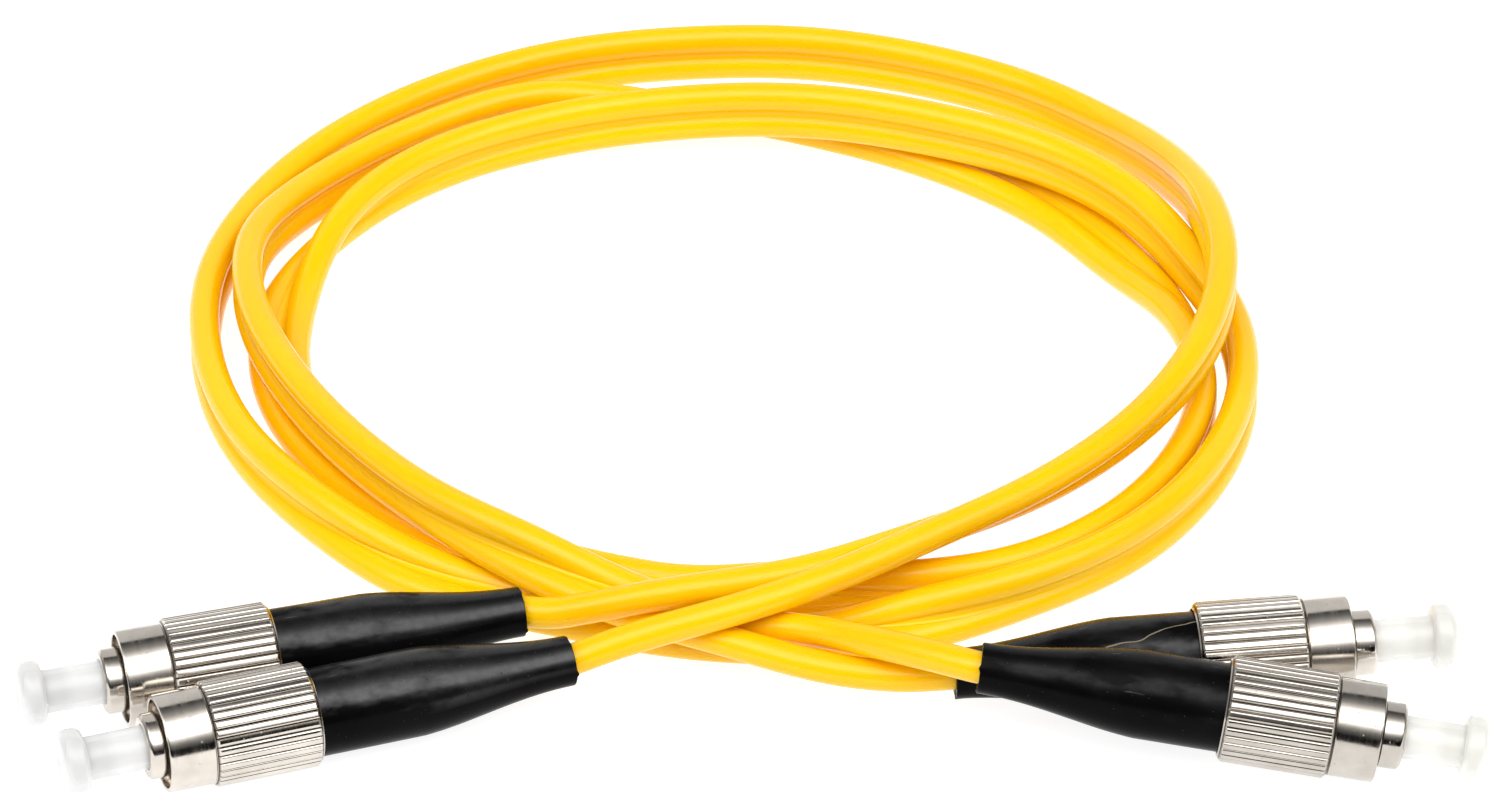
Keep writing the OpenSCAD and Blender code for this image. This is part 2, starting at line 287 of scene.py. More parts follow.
def smooth_path(points, step):
    """Points every `step` metres along a smooth (Hermite) curve through given points."""
    pts = np.array([tuple(p) for p in points], float)
    gap = np.linalg.norm(np.diff(pts[:, :3], axis=0), axis=1)
    slope = np.diff(pts, axis=0) / gap[:, None]
    tangent = np.empty_like(pts)
    tangent[0], tangent[-1] = slope[0], slope[-1]
    share = (gap[1:] / (gap[1:] + gap[:-1]))[:, None]
    tangent[1:-1] = slope[:-1] * share + slope[1:] * (1 - share)
    fine = []
    for i, length in enumerate(gap):
        t = np.linspace(0, 1, max(4, int(length / step * 4)), endpoint=False)[:, None]
        fine.append(
            (2 * t**3 - 3 * t**2 + 1) * pts[i]
            + (t**3 - 2 * t**2 + t) * length * tangent[i]
            + (-2 * t**3 + 3 * t**2) * pts[i + 1]
            + (t**3 - t**2) * length * tangent[i + 1]
        )
    fine = np.vstack(fine + [pts[-1:]])
    run = np.concatenate([[0], np.cumsum(np.linalg.norm(np.diff(fine[:, :3], axis=0), axis=1))])
    even = np.linspace(0, run[-1], int(run[-1] / step) + 1)
    return np.stack([np.interp(even, run, fine[:, c]) for c in range(fine.shape[1])], axis=1)


def relax(path, step, reach, keep):
    """The path with its small bends averaged out over `reach` metres; its two ends stay for
    `keep` metres, where the cord is held straight in a boot."""
    width = reach / step
    half = int(3 * width)
    kernel = np.exp(-0.5 * (np.arange(-half, half + 1) / width) ** 2)
    kernel /= kernel.sum()
    padded = np.vstack([np.repeat(path[:1], half, 0), path, np.repeat(path[-1:], half, 0)])
    soft = np.stack([np.convolve(column, kernel, "valid") for column in padded.T], axis=1)
    index = np.arange(len(path))
    away = np.minimum(index, index[::-1]) * step
    weight = np.clip((away - keep) / (2 * reach), 0, 1)[:, None]
    return path * (1 - weight) + soft * weight


def new_object(name, verts, faces, mat, sharp=35):
    """A mesh object, smooth except where faces meet at more than `sharp` degrees."""
    data = bpy.data.meshes.new(name)
    data.from_pydata([tuple(v) for v in verts], [], faces)
    data.polygons.foreach_set("use_smooth", [True] * len(data.polygons))
    data.set_sharp_from_angle(angle=math.radians(sharp))
    data.materials.append(mat)
    obj = bpy.data.objects.new(name, data)
    bpy.context.scene.collection.objects.link(obj)
    return obj


def loft_faces(rings, sides):
    """Faces of a closed solid whose points lie in rings one after the other."""
    faces = []
    for i in range(rings - 1):
        near, far = i * sides, (i + 1) * sides
        for j in range(sides):
            k = (j + 1) % sides
            faces.append((near + j, near + k, far + k, far + j))
    last = (rings - 1) * sides
    faces.append(tuple(reversed(range(sides))))
    faces.append(tuple(range(last, last + sides)))
    return faces


def tube_mesh(path, radius, sides):
    """Vertices and faces of a closed tube along a path, its rings carried without twist."""
    path = [Vector(p) for p in path]
    normal = heading(path, 0).orthogonal().normalized()
    verts = []
    for i, p in enumerate(path):
        t = heading(path, i)
        normal = (normal - normal.dot(t) * t).normalized()
        other = t.cross(normal)
        for j in range(sides):
            a = 2 * math.pi * j / sides
            verts.append(p + radius * (math.cos(a) * normal + math.sin(a) * other))
    return verts, loft_faces(len(path), sides)


# ---------------------------------------------------------------- plugs


class Plug:
    """Where one plug is: +Z runs forward along it and +X points down. It starts at `at`."""

    def __init__(self, end):
        spin = next(j for j in frame["joints"] if j["name"] == end + "_nut_spin")
        self.end = end
        self.at = Vector(spin["pos_m"])
        self.axis = Vector(spin["axis"]).normalized()
        down = -(Vector((0, 0, 1)) - self.axis.z * self.axis).normalized()
        turn = Matrix((down, self.axis.cross(down), self.axis)).transposed()
        self.matrix = Matrix.Translation(self.at) @ turn.to_4x4()

    def span(self, piece):
        """Rear, front and outer radius of a CAD node, along and around this plug's axis."""
        mesh = frame["nodes"][self.end + "_" + piece].data
        local = [self.matrix.inverted() @ v.co for v in mesh.vertices]
        along = [p.z for p in local]
        return min(along), max(along), max(math.hypot(p.x, p.y) for p in local)

    def point(self, along):
        """The point on the plug's axis that is this far along it."""
        return self.at + along * self.axis


plugs = {end: Plug(end) for end in ENDS}


# ---------------------------------------------------------------- materials


class Paint:
    """A procedural material: its Principled shader, and short calls that add nodes to it."""

    def __init__(self, name, **values):
        self.mat = bpy.data.materials.new(name)
        self.mat.use_nodes = True
        self.tree = self.mat.node_tree
        self.shader = self.tree.nodes["Principled BSDF"]
        self.place = self.add("ShaderNodeTexCoord").outputs["Object"]
        for key, value in values.items():
            self.shader.inputs[key.replace("_", " ")].default_value = value

    def add(self, kind, **settings):
        return add_node(self.tree, kind, **settings)

    def link(self, a, b):
        self.tree.links.new(a, b)

    def scaled(self, scale):
        """Object coordinates stretched by a scale along each axis."""
        node = self.add("ShaderNodeMapping")
        node.inputs["Scale"].default_value = scale
        self.link(self.place, node.inputs["Vector"])
        return node.outputs[0]

    def along(self, axis):
        """One of the object coordinates: on a turned piece Z runs along it and X points down."""
        node = self.add("ShaderNodeSeparateXYZ")
        self.link(self.place, node.inputs[0])
        return node.outputs[axis]

    def off_axis(self):
        """How far a point is from the axis of a turned piece."""
        squares = [self.math("POWER", self.along(axis), 2) for axis in "XY"]
        return self.math("POWER", self.math("ADD", *squares), 0.5)

    def noise(self, scale, detail=3.0, stretch=(1, 1, 1), roughness=0.55):
        """Soft noise, mostly between 0.3 and 0.7."""
        node = self.add("ShaderNodeTexNoise")
        node.inputs["Scale"].default_value = scale
        node.inputs["Detail"].default_value = detail
        node.inputs["Roughness"].default_value = roughness
        self.link(self.scaled(stretch), node.inputs["Vector"])
        return node.outputs["Fac"]

    def spots(self, scale, size, soft):
        """Scattered round spots: 1 in a spot and 0 outside."""
        node = self.add("ShaderNodeTexVoronoi")
        node.inputs["Scale"].default_value = scale
        self.link(self.place, node.inputs["Vector"])
        return self.fade(node.outputs["Distance"], size + soft, size)

    def fade(self, value, low, high, to_low=0.0, to_high=1.0):
        """A value taken from the range low..high to to_low..to_high, and held at its ends."""
        node = self.add("ShaderNodeMapRange", clamp=True)
        node.inputs["From Min"].default_value = low
        node.inputs["From Max"].default_value = high
        node.inputs["To Min"].default_value = to_low
        node.inputs["To Max"].default_value = to_high
        self.link(value, node.inputs["Value"])
        return node.outputs["Result"]

    def math(self, operation, a, b=0):
        """A Math node: each of a and b is a number or another node's output."""
        node = self.add("ShaderNodeMath", operation=operation)
        for socket, value in zip(node.inputs, (a, b)):
            if isinstance(value, (int, float)):
                socket.default_value = value
            else:
                self.link(value, socket)
        return node.outputs[0]

    def mix(self, factor, first, second):
        """A colour between two: each is an (r, g, b) or another node's colour."""
        node = self.add("ShaderNodeMix", data_type="RGBA")
        pairs = ((node.inputs[MIX_FIRST], first), (node.inputs[MIX_SECOND], second))
        for socket, value in pairs:
            if isinstance(value, tuple):
                socket.default_value = (*value, 1)
            else:
                self.link(value, socket)
        self.link(factor, node.inputs[0])
        return node.outputs[MIX_RESULT]

    def color(self, value):
        self.link(value, self.shader.inputs["Base Color"])

    def roughness(self, value):
        self.link(value, self.shader.inputs["Roughness"])

    def bump(self, *layers):
        """Raised detail, from (height, depth in metres) pairs."""
        below = None
        for height, depth in layers:
            node = self.add("ShaderNodeBump")
            node.inputs["Strength"].default_value = 1.0
            node.inputs["Distance"].default_value = depth
            self.link(height, node.inputs["Height"])
            if below is not None:
                self.link(below, node.inputs["Normal"])
            below = node.outputs["Normal"]
        self.link(below, self.shader.inputs["Normal"])


def toned(color, tone):
    """A colour made brighter or darker."""
    return tuple(tone * c for c in color)


def yellow_pvc(name, depth):
    """Soft yellow PVC, with a share of the light going under its skin."""
    p = Paint(name, Specular_IOR_Level=0.29, Subsurface_Weight=depth, Subsurface_Scale=1.8 * MM)
    p.shader.inputs["Subsurface Radius"].default_value = (1.0, 0.75, 0.12)
    deep, light, speck = (0.93, 0.525, 0.0015), (0.95, 0.56, 0.002), (0.72, 0.42, 0.01)
    broad = p.fade(p.noise(38, 2), 0.35, 0.65)
    fine = p.fade(p.noise(900, 4), 0.3, 0.7)
    p.color(p.mix(p.spots(520, 0.02, 0.03), p.mix(broad, deep, light), speck))
    p.roughness(p.fade(p.noise(260, 3), 0.3, 0.7, 0.16, 0.24))
    p.bump((p.noise(90, 2), 0.012 * MM), (fine, 0.001 * MM))
    return p.mat


def scratch(p):
    """One fine wavering line over the top of a boot, from behind its nut: 1 on it, 0 off it."""
    lean, length, half_width = 0.26, 13 * MM, 0.05 * MM
    wander = p.fade(p.noise(170, 2), 0.3, 0.7, -0.6 * MM, 0.3 * MM)
    course = p.math("ADD", p.math("MULTIPLY", p.along("Z"), lean), wander)
    off = p.math("ABSOLUTE", p.math("SUBTRACT", p.along("Y"), course))
    within = p.fade(p.along("Z"), -length - 0.5 * MM, -length + 0.5 * MM)
    above = p.fade(p.along("X"), 0, -0.5 * MM)
    line = p.fade(off, half_width + 0.02 * MM, half_width - 0.02 * MM)
    return p.math("MULTIPLY", line, p.math("MULTIPLY", within, above))


def black_boot(name, strength, scratched=False):
    """Moulded black rubber with a rubbed sheen of a given strength in patches on its upper side."""
    p = Paint(name)
    up = p.fade(p.along("X"), -0.2 * MM, -1.6 * MM)
    patch = p.fade(p.noise(190, 4, (1, 1, 0.45), 0.58), 0.46, 0.58)
    grain = p.fade(p.noise(1300, 3), 0.3, 0.7, 0.75, 1)
    rubbed = p.math("MULTIPLY", p.math("MULTIPLY", up, patch), grain)
    p.link(p.fade(rubbed, 0, 1, 0.04, strength), p.shader.inputs["Specular IOR Level"])
    broad = p.fade(p.noise(140, 3), 0.35, 0.65)
    black = p.mix(broad, (0.0015, 0.0015, 0.0018), (0.003, 0.003, 0.0035))
    dust = p.spots(1500, 0.03, 0.05)
    scuff = p.fade(p.noise(1500, 2, (1, 1, 0.12)), 0.73, 0.78)
    marks = p.math("MAXIMUM", dust, p.math("MULTIPLY", scuff, up))
    base = p.mix(marks, black, (0.05, 0.05, 0.048))
    if scratched:
        base = p.mix(scratch(p), base, (0.2, 0.17, 0.11))
    p.color(base)
    p.roughness(p.fade(p.noise(420, 4), 0.3, 0.7, 0.2, 0.31))
    p.bump((p.noise(900, 5), 0.006 * MM), (p.spots(1100, 0.05, 0.06), 0.012 * MM))
    return p.mat


def nickel(name, tone, shaded_grooves=False):
    """Nickel plate, brighter or duller by a tone that is painted light and shade, with painted
    shade darkening a knurl's grooves.
    """
    p = Paint(name, Metallic=1.0)
    duller, brighter = (0.52, 0.475, 0.425), (0.66, 0.615, 0.56)
    cloud = p.fade(p.noise(300, 4), 0.3, 0.7)
    pits = p.spots(1300, 0.04, 0.05)
    base = p.mix(cloud, toned(duller, tone), toned(brighter, tone))
    base = p.mix(pits, base, (0.22, 0.19, 0.15))
    if shaded_grooves:
        # Painted shade: the colour darkens towards the root of the knurl's grooves, where shade
        # falls.
        root, crest = 4.64 * MM, 4.8 * MM
        base = p.mix(p.fade(p.off_axis(), crest, root), base, (0.06, 0.05, 0.04))
    p.color(base)
    rings = p.noise(6000, 2, (0.02, 0.02, 1))
    wear = p.fade(p.noise(700, 4), 0.3, 0.7, 0.07, 0.13)
    p.roughness(p.math("ADD", wear, p.fade(rings, 0.3, 0.7, 0, 0.1)))
    p.bump(
        (rings, 0.0015 * MM),
        (p.noise(900, 4), 0.004 * MM),
        (p.noise(3500, 3), 0.0014 * MM),
        (p.math("MULTIPLY", pits, -1), 0.02 * MM),
    )
    return p.mat


def plain_metal(name, color, rough, ring_scale=7000):
    """Bare turned steel or drawn wire, around a given roughness."""
    p = Paint(name, Metallic=1.0)
    p.color(p.mix(p.fade(p.noise(400, 3), 0.3, 0.7), toned(color, 0.8), color))
    p.roughness(p.fade(p.noise(600, 3), 0.3, 0.7, rough * 0.7, rough * 1.3))
    p.bump((p.noise(ring_scale, 2), 0.003 * MM))
    return p.mat


def milky_cap(name, tint):
    """Translucent polyethylene, clearer over the bore and denser towards the solid head."""
    p = Paint(name, Roughness=0.3, IOR=1.5, Subsurface_Weight=0.8, Subsurface_Scale=1.2 * MM,
              Transmission_Weight=0.15)
    p.shader.inputs["Subsurface Radius"].default_value = (1.0, 1.0, 1.0)
    bore_end, head_from, head_share = 18.8 * MM, 19.9 * MM, 0.55
    cloud = p.mix(p.fade(p.noise(260, 3), 0.3, 0.7), toned(tint, 0.92), tint)
    solid = p.fade(p.along("Z"), bore_end, head_from, 0, head_share)
    p.color(p.mix(solid, cloud, toned(tint, 0.74)))
    p.bump((p.noise(500, 3), 0.01 * MM))
    return p.mat


def ceramic():
    """Polished zirconia."""
    p = Paint("ceramic", Roughness=0.12, Subsurface_Weight=0.3, Subsurface_Scale=0.5 * MM)
    p.color(p.mix(p.fade(p.noise(500, 2), 0.3, 0.7), (0.86, 0.86, 0.84), (0.92, 0.92, 0.9)))
    p.bump((p.noise(6000, 2), 0.001 * MM))
    return p.mat


def white_plastic(name, color):
    """Smooth plastic of the inner pieces."""
    p = Paint(name, Roughness=0.4)
    p.color(p.mix(p.fade(p.noise(500, 3), 0.3, 0.7), toned(color, 0.9), color))
    p.bump((p.noise(1500, 3), 0.004 * MM))
    return p.mat


def aramid():
    """Gold yarn with its strands along the plug."""
    p = Paint("aramid", Roughness=0.55, Sheen_Weight=0.4)
    strands = p.noise(4000, 2, (1, 1, 0.05))
    p.color(p.mix(p.fade(strands, 0.35, 0.65), (0.55, 0.40, 0.08), (0.85, 0.70, 0.25)))
    p.bump((strands, 0.03 * MM))
    return p.mat


# ---------------------------------------------------------------- the cord


def lead_points(end, jacket_end):
    """The given points of a single lead, from inside its plug to the junction."""
    plug = plugs[end]
    post = plug.span("back_body")[0]
    tail = plug.span("boot")[0]
    held = [plug.point(post), plug.point((post + tail) / 2), plug.point(tail)]
    return held + [Vector(p) for p in reversed(LEAD_ROUTE[end])] + [jacket_end]


def jacket_points(side):
    """One jacket along the twin cord: side 1 is the front left lead's, -1 the rear left's."""
    middle = [Vector(p[:3]) for p in ROUTE]
    return [
        p + side * JACKET_PITCH / 2 * across(heading(middle, i), ROUTE[i][3])
        for i, p in enumerate(middle)
    ]


# Spacing of the points along the cord, and the radius over which its small bends even out
CORD_STEP = 0.0012
CORD_REACH = 0.0032


def make_cord(name, side, left, right, mat):
    """A jacket from one plug to the other, and its path."""
    twin = jacket_points(side)
    points = lead_points(left, twin[0]) + twin[1:-1] + list(reversed(lead_points(right, twin[-1])))
    held = plugs[left].span("back_body")[0] - plugs[left].span("boot")[0]
    path = relax(smooth_path(points, CORD_STEP), CORD_STEP, CORD_REACH, held)
    path[:, 2] = np.maximum(path[:, 2], JACKET_D / 2)
    verts, faces = tube_mesh(path, JACKET_D / 2, 24)
    return new_object(name, verts, faces, mat, sharp=60), path


def nearest_on(path):
    """A lookup of the nearest point of a path."""
    tree = KDTree(len(path))
    for i, p in enumerate(path):
        tree.insert(p, i)
    tree.balance()
    return tree


# The web between the jackets: the hollow arcs of its two sides, how far they run into the
# jackets, and the length over which it tapers to a torn point at each junction
WEB_FILLET = 0.6 * MM
WEB_OVERLAP = 1.04
WEB_ARC_STEPS = 8
WEB_TAPER = 4 * MM


def web_section():
    """The web's outline: (across, up) points that touch both jackets and are hollow between."""
    height = math.sqrt((JACKET_D / 2 + WEB_FILLET) ** 2 - JACKET_PITCH ** 2 / 4)
    half_arc = math.atan2(JACKET_PITCH / 2, height)
    upper = []
    for i in range(WEB_ARC_STEPS + 1):
        a = half_arc * (1 - 2 * i / WEB_ARC_STEPS)
        across_by = WEB_OVERLAP * WEB_FILLET * math.sin(a)
        upper.append((across_by, height - WEB_FILLET * math.cos(a)))
    return upper + [(x, -y) for x, y in reversed(upper)]


def make_web(front, rear, mat):
    """The web that fills the notch between the two jackets, along the whole twin cord."""
    section = web_section()
    start, stop = Vector(ROUTE[0][:3]), Vector(ROUTE[-1][:3])
    middle = [Vector(p) for p in smooth_path([p[:3] for p in ROUTE], CORD_STEP)]
    on_front, on_rear = nearest_on(front), nearest_on(rear)
    verts = []
    for i, p in enumerate(middle):
        a, b = Vector(on_front.find(p)[0]), Vector(on_rear.find(p)[0])
        centre = (a + b) / 2
        side = (b - a).normalized()
        up = side.cross(heading(middle, i)).normalized()
        edge = min((centre - start).length, (centre - stop).length)
        taper = min(1, edge / WEB_TAPER)
        spread = (b - a).length / JACKET_PITCH
        verts += [centre + spread * x * side + taper * y * up for x, y in section]
    faces = loft_faces(len(middle), len(section))
    return new_object("cord_web", verts, faces, mat, sharp=80)


def build_cord():
    """The two jackets and their web, in place of the CAD model's cord and leads."""
    yellow = yellow_pvc("yellow_pvc", 0.45)
    cord_a, path_a = make_cord("cord_front", 1, "left_front", "right_front", yellow)
    cord_b, path_b = make_cord("cord_rear", -1, "left_rear", "right_rear", yellow)
    web = make_web(path_a, path_b, yellow_pvc("yellow_web", 0))
    for piece in (cord_a, cord_b, web):
        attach(piece, "cord")
    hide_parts("duplex_cord", "left_front_lead", "right_front_lead")
    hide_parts("left_rear_lead", "right_rear_lead")
    for piece, path, end, others in (
        (cord_a, path_a, "left_front", [web]),
        (cord_b, path_b, "left_rear", []),
    ):
        plug = plugs[end]
        plug.point(plug.span("boot")[0])


# ---------------------------------------------------------------- turned pieces


# The most that an arc takes of the edge on each side of it, so that two arcs never meet
ARC_SHARE = 0.48
# A radius under this is a point on the axis
ON_AXIS = 1e-7


def rounded(outline, steps):
    """(along, radius) points from (along, radius, bevel) corners, each bevel drawn as an arc."""
    out = []
    for i, (u, r, bevel) in enumerate(outline):
        here = np.array((u, r))
        if bevel <= 0 or i in (0, len(outline) - 1):
            out.append(here)
            continue
        back = np.array(outline[i - 1][:2]) - here
        ahead = np.array(outline[i + 1][:2]) - here
        reach = min(bevel, *(np.linalg.norm(edge) * ARC_SHARE for edge in (back, ahead)))
        a = here + back / np.linalg.norm(back) * reach
        b = here + ahead / np.linalg.norm(ahead) * reach
        for t in np.linspace(0, 1, steps + 1):
            out.append((1 - t) ** 2 * a + 2 * t * (1 - t) * here + t * t * b)
    return out


def turned(name, plug, outline, mat, sides=96, closed=True, shape=None, sharp=35, steps=4):
    """A turned piece on a plug's axis. `shape`, if given, moves a point: (along, radius, angle)
    to (along, radius). An outline that isn't closed starts and ends on the axis."""
    if closed:
        rings = rounded([*outline, outline[0]], steps)[:-1]
    else:
        rings = rounded(outline, steps)
    verts, index = [], []
    for u, r in rings:
        row = []
        for j in range(1 if r < ON_AXIS else sides):
            a = 2 * math.pi * j / sides
            uu, rr = shape(u, r, a) if shape and r > ON_AXIS else (u, r)
            row.append(len(verts))
            verts.append((rr * math.cos(a), rr * math.sin(a), uu))
        index.append(row)
    faces = []
    for i in range(len(rings) if closed else len(rings) - 1):
        first, second = index[i], index[(i + 1) % len(rings)]
        for j in range(sides):
            k = (j + 1) % sides
            around = ((first, j), (second, j), (second, k), (first, k))
            corners = [ring[m % len(ring)] for ring, m in around]
            face = list(dict.fromkeys(corners))
            if len(face) > 2:
                faces.append(tuple(face))
    obj = new_object(name, verts, faces, mat, sharp)
    obj.matrix_world = plug.matrix
    return obj


def ripple(seed, angle, count=5):
    """A smooth uneven value between -1 and 1 around a circle, the same each run."""
    total = 0.0
    for k in range(1, count + 1):
        total += math.sin(k * angle + 2.4 * seed * k + k * k) / k
    return total / 2


# ---------------------------------------------------------------- plug pieces

KNURL_TEETH = 36
KNURL_DEPTH = 0.34 * MM
KNURL_CHAMFER = 0.45 * MM
KNURL_SIDES = KNURL_TEETH * 16
THREAD_PITCH = 0.75 * MM
THREAD_DEPTH = 0.3 * MM


def knurl_height(angle, seed):
    """0 at the root and 1 on the crest of a tooth: a broad ridge between narrow grooves, with
    a top that leans one way or the other and is never quite level with the next."""
    tooth = angle / (2 * math.pi) * KNURL_TEETH + seed * 0.3
    number = math.floor(tooth) % KNURL_TEETH
    x = (tooth % 1.0 - 0.5) * 2
    lean = 0.13 * math.sin(number * 2.4 + seed) * x
    low = 0.07 * math.sin(number * 5.1 + seed * 3) ** 2
    return min(1.0, (1 - abs(x) ** 4) ** 0.6 * (1.03 - low + lean))


def coupling_nut(plug, seed, mat, knurl_mat):
    """A knurled rear part, a smooth band in front, a shoulder and thread inside."""
    rear, front, knurl_r = plug.span("coupling_nut")
    band_rear = rear + 10.2 * MM
    band_r, mouth_r, thread_r = 4.55 * MM, 4.1 * MM, 3.6 * MM
    shoulder_r, rear_bore_r = 3.25 * MM, 4.3 * MM
    shoulder_rear, shoulder_front = rear + 4.3 * MM, rear + 5.58 * MM
    thread_front = front - 1.0 * MM
    root_r = knurl_r - KNURL_DEPTH

    # Rings close together over both chamfers, and wider apart on the knurl between them
    chamfer_length, chamfer_rings = KNURL_CHAMFER * 1.1, 8
    chamfer = [chamfer_length * i / chamfer_rings for i in range(chamfer_rings + 1)]
    between = [(0.9 + 0.66 * i) * MM for i in range(13)]
    knurl = [rear + u for u in chamfer + between] + [band_rear - u for u in reversed(chamfer)]
    thread_length = thread_front - shoulder_front
    rings = int(thread_length / (THREAD_PITCH / 8))
    thread = [thread_front - thread_length * i / rings for i in range(1, rings + 1)]
    outline = [
        *((u, knurl_r, 0) for u in knurl),
        (band_rear + 0.02 * MM, band_r + 0.04 * MM, 0),
        (band_rear + 0.12 * MM, band_r, 0),
        (front, band_r, 0.22 * MM),
        (front, mouth_r, 0.1 * MM),
        (thread_front, mouth_r, 0),
        (thread_front - 0.02 * MM, thread_r + THREAD_DEPTH, 0),
        *((u, thread_r, 0) for u in thread),
        (shoulder_front, shoulder_r, 0.08 * MM),
        (shoulder_rear, shoulder_r, 0.08 * MM),
        (shoulder_rear, rear_bore_r, 0),
        (rear, rear_bore_r, 0.1 * MM),
    ]

    def shape(u, r, angle):
        if r == knurl_r:
            cone = knurl_r - KNURL_CHAMFER + min(u - rear, band_rear - u)
            return u, min(cone, root_r + KNURL_DEPTH * knurl_height(angle, seed))
        if r == thread_r:
            wave = ((thread_front - u) / THREAD_PITCH + angle / (2 * math.pi)) % 1.0
            fade = min(1.0, (u - shoulder_front) / (2 * MM))
            return u, thread_r + THREAD_DEPTH * fade * abs(1 - 2 * wave)
        return u, r

    name = plug.end + "_nut_body"
    obj = turned(name, plug, outline, mat, KNURL_SIDES, shape=shape, sharp=28)
    obj.data.materials.append(knurl_mat)
    for face in obj.data.polygons:
        centre = face.center
        if rear < centre.z < band_rear and math.hypot(centre.x, centre.y) > root_r - 0.01 * MM:
            face.material_index = 1
    return obj


def boot(plug, seed, mat):
    """Thick straight front, a smooth taper, and a cut tail with small burrs."""
    tail, front, front_r = plug.span("boot")
    tail_r, bore_r, neck_r, socket_r = 2.35 * MM, 1.62 * MM, 1.3 * MM, 3.25 * MM
    socket_end, neck_rear = front - 3 * MM, tail + 5 * MM
    taper_from = front - 10.4 * MM
    taper, taper_rings = taper_from - tail, 44
    outside = []
    for i in range(taper_rings):
        s = i / taper_rings
        fall = 1 - (1 - s) ** 2.2 * (1 + 1.7 * s)
        outside.append((taper_from - taper * s, front_r + (tail_r - front_r) * fall, 0))
    outline = [
        (front, front_r, 0.25 * MM),
        (front - 2.5 * MM, front_r, 0),
        (front - 6.5 * MM, front_r, 0),
        *outside,
        (tail, tail_r, 0.12 * MM),
        (tail, bore_r, 0.08 * MM),
        (neck_rear, bore_r, 0),
        (neck_rear, neck_r, 0),
        (socket_end, neck_r, 0),
        (socket_end, socket_r, 0),
        (front, socket_r, 0.2 * MM),
    ]

    def shape(u, r, angle):
        # Only the tail's last 0.7 mm is uneven: the cut wavers, and burrs stand out of it
        near = max(0.0, 1 - (u - tail) / (0.7 * MM)) if r > bore_r * 0.98 else 0
        burr = max(0.0, math.sin(7 * angle + seed * 2.1) * math.sin(3 * angle + seed)) ** 3
        u = u - near * (0.16 * MM * burr + 0.06 * MM * ripple(seed, angle))
        wide = 1 + 0.006 * ripple(seed + 3, angle, 3)
        return u, r * wide + near * 0.05 * MM * burr * (r > 2 * MM)

    return turned(plug.end + "_boot_body", plug, outline, mat, shape=shape, sharp=40, steps=5)


def plug_frame(plug, mat):
    """A tube with a flange that the slip washer stops at, a neck, and the barrel in front."""
    rear, front, flange_r = plug.span("plug_frame")
    barrel_r, bore_r, body_r, neck_r = 3.05 * MM, 2.125 * MM, 3.05 * MM, 2.85 * MM
    flange_rear, flange_front = 6.3 * MM, 7.3 * MM
    neck_front, barrel_rear = 13.9 * MM, 14.1 * MM
    stop_rear, stop_front, stop_r, rear_bore_r = 8.3 * MM, 9.2 * MM, 1.45 * MM, 2.1 * MM
    outline = [
        (rear, body_r, 0.08 * MM),
        (flange_rear, body_r, 0),
        (flange_rear, flange_r, 0.1 * MM),
        (flange_front, flange_r, 0.1 * MM),
        (flange_front, neck_r, 0),
        (neck_front, neck_r, 0),
        (barrel_rear, barrel_r, 0.05 * MM),
        (front - 0.3 * MM, barrel_r, 0.12 * MM),
        (front, barrel_r - 0.3 * MM, 0.12 * MM),
        (front, bore_r + 0.15 * MM, 0.08 * MM),
        (front - 0.15 * MM, bore_r, 0.05 * MM),
        (stop_front, bore_r, 0),
        (stop_front, stop_r, 0),
        (stop_rear, stop_r, 0),
        (stop_rear, rear_bore_r, 0),
        (rear, rear_bore_r, 0.08 * MM),
    ]
    return turned(plug.end + "_frame_body", plug, outline, mat)


def frame_key(plug, mat):
    """The alignment key: a rounded bar along the top of the barrel."""
    half, low, high = 1.0 * MM, 2.85 * MM, 3.4 * MM
    rear, front, round_by = 7.2 * MM, 13.4 * MM, 0.18 * MM
    section = []
    inset_r = high - round_by
    for inset_y, first in ((half - round_by, 0), (round_by - half, 90)):
        for i in range(5):
            a = math.radians(first + 90 * i / 4)
            section.append((inset_y + round_by * math.cos(a), inset_r + round_by * math.sin(a)))
    section += [(-half, low), (half, low)]
    # Along the plug, and the share of the section left there: the front end is rounded off
    stops = [(rear, 1.0), (front - round_by, 1.0), (front - round_by * 0.3, 0.93), (front, 0.8)]
    verts = [
        (-(low + (r - low) * share), y * share, u) for u, share in stops for y, r in section
    ]
    faces = loft_faces(len(stops), len(section))
    obj = new_object(plug.end + "_frame_key", verts, faces, mat, 40)
    obj.matrix_world = plug.matrix
    return obj


def dust_cap(plug, seed, mat):
    """A hollow stem that goes over the ferrule, and a solid head with a moulding mark."""
    rear, front, head_r = plug.span("dust_cap")
    stem_r, bore_r = 2.025 * MM, 1.29 * MM
    head_rear, bore_end = front - 2.3 * MM, 19.4 * MM
    outline = [
        (bore_end, 0, 0),
        (bore_end, bore_r, 0.3 * MM),
        (rear, bore_r, 0.1 * MM),
        (rear, stem_r, 0.35 * MM),
        (head_rear - 0.6 * MM, stem_r, 0),
        (head_rear, stem_r + 0.02 * MM, 0.25 * MM),
        (head_rear, head_r - 0.35 * MM, 0.2 * MM),
        (head_rear + 0.4 * MM, head_r, 0.3 * MM),
        (front - 0.7 * MM, head_r, 0.4 * MM),
        (front, head_r - 0.75 * MM, 0.4 * MM),
        (front, 0.9 * MM, 0),
        (front - 0.08 * MM, 0.55 * MM, 0),
        (front - 0.08 * MM, 0, 0),
    ]

    def shape(u, r, angle):
        return u, r * (1 + 0.004 * ripple(seed, angle, 3))

    name = plug.end + "_cap_body"
    return turned(name, plug, outline, mat, closed=False, shape=shape, sharp=50, steps=6)


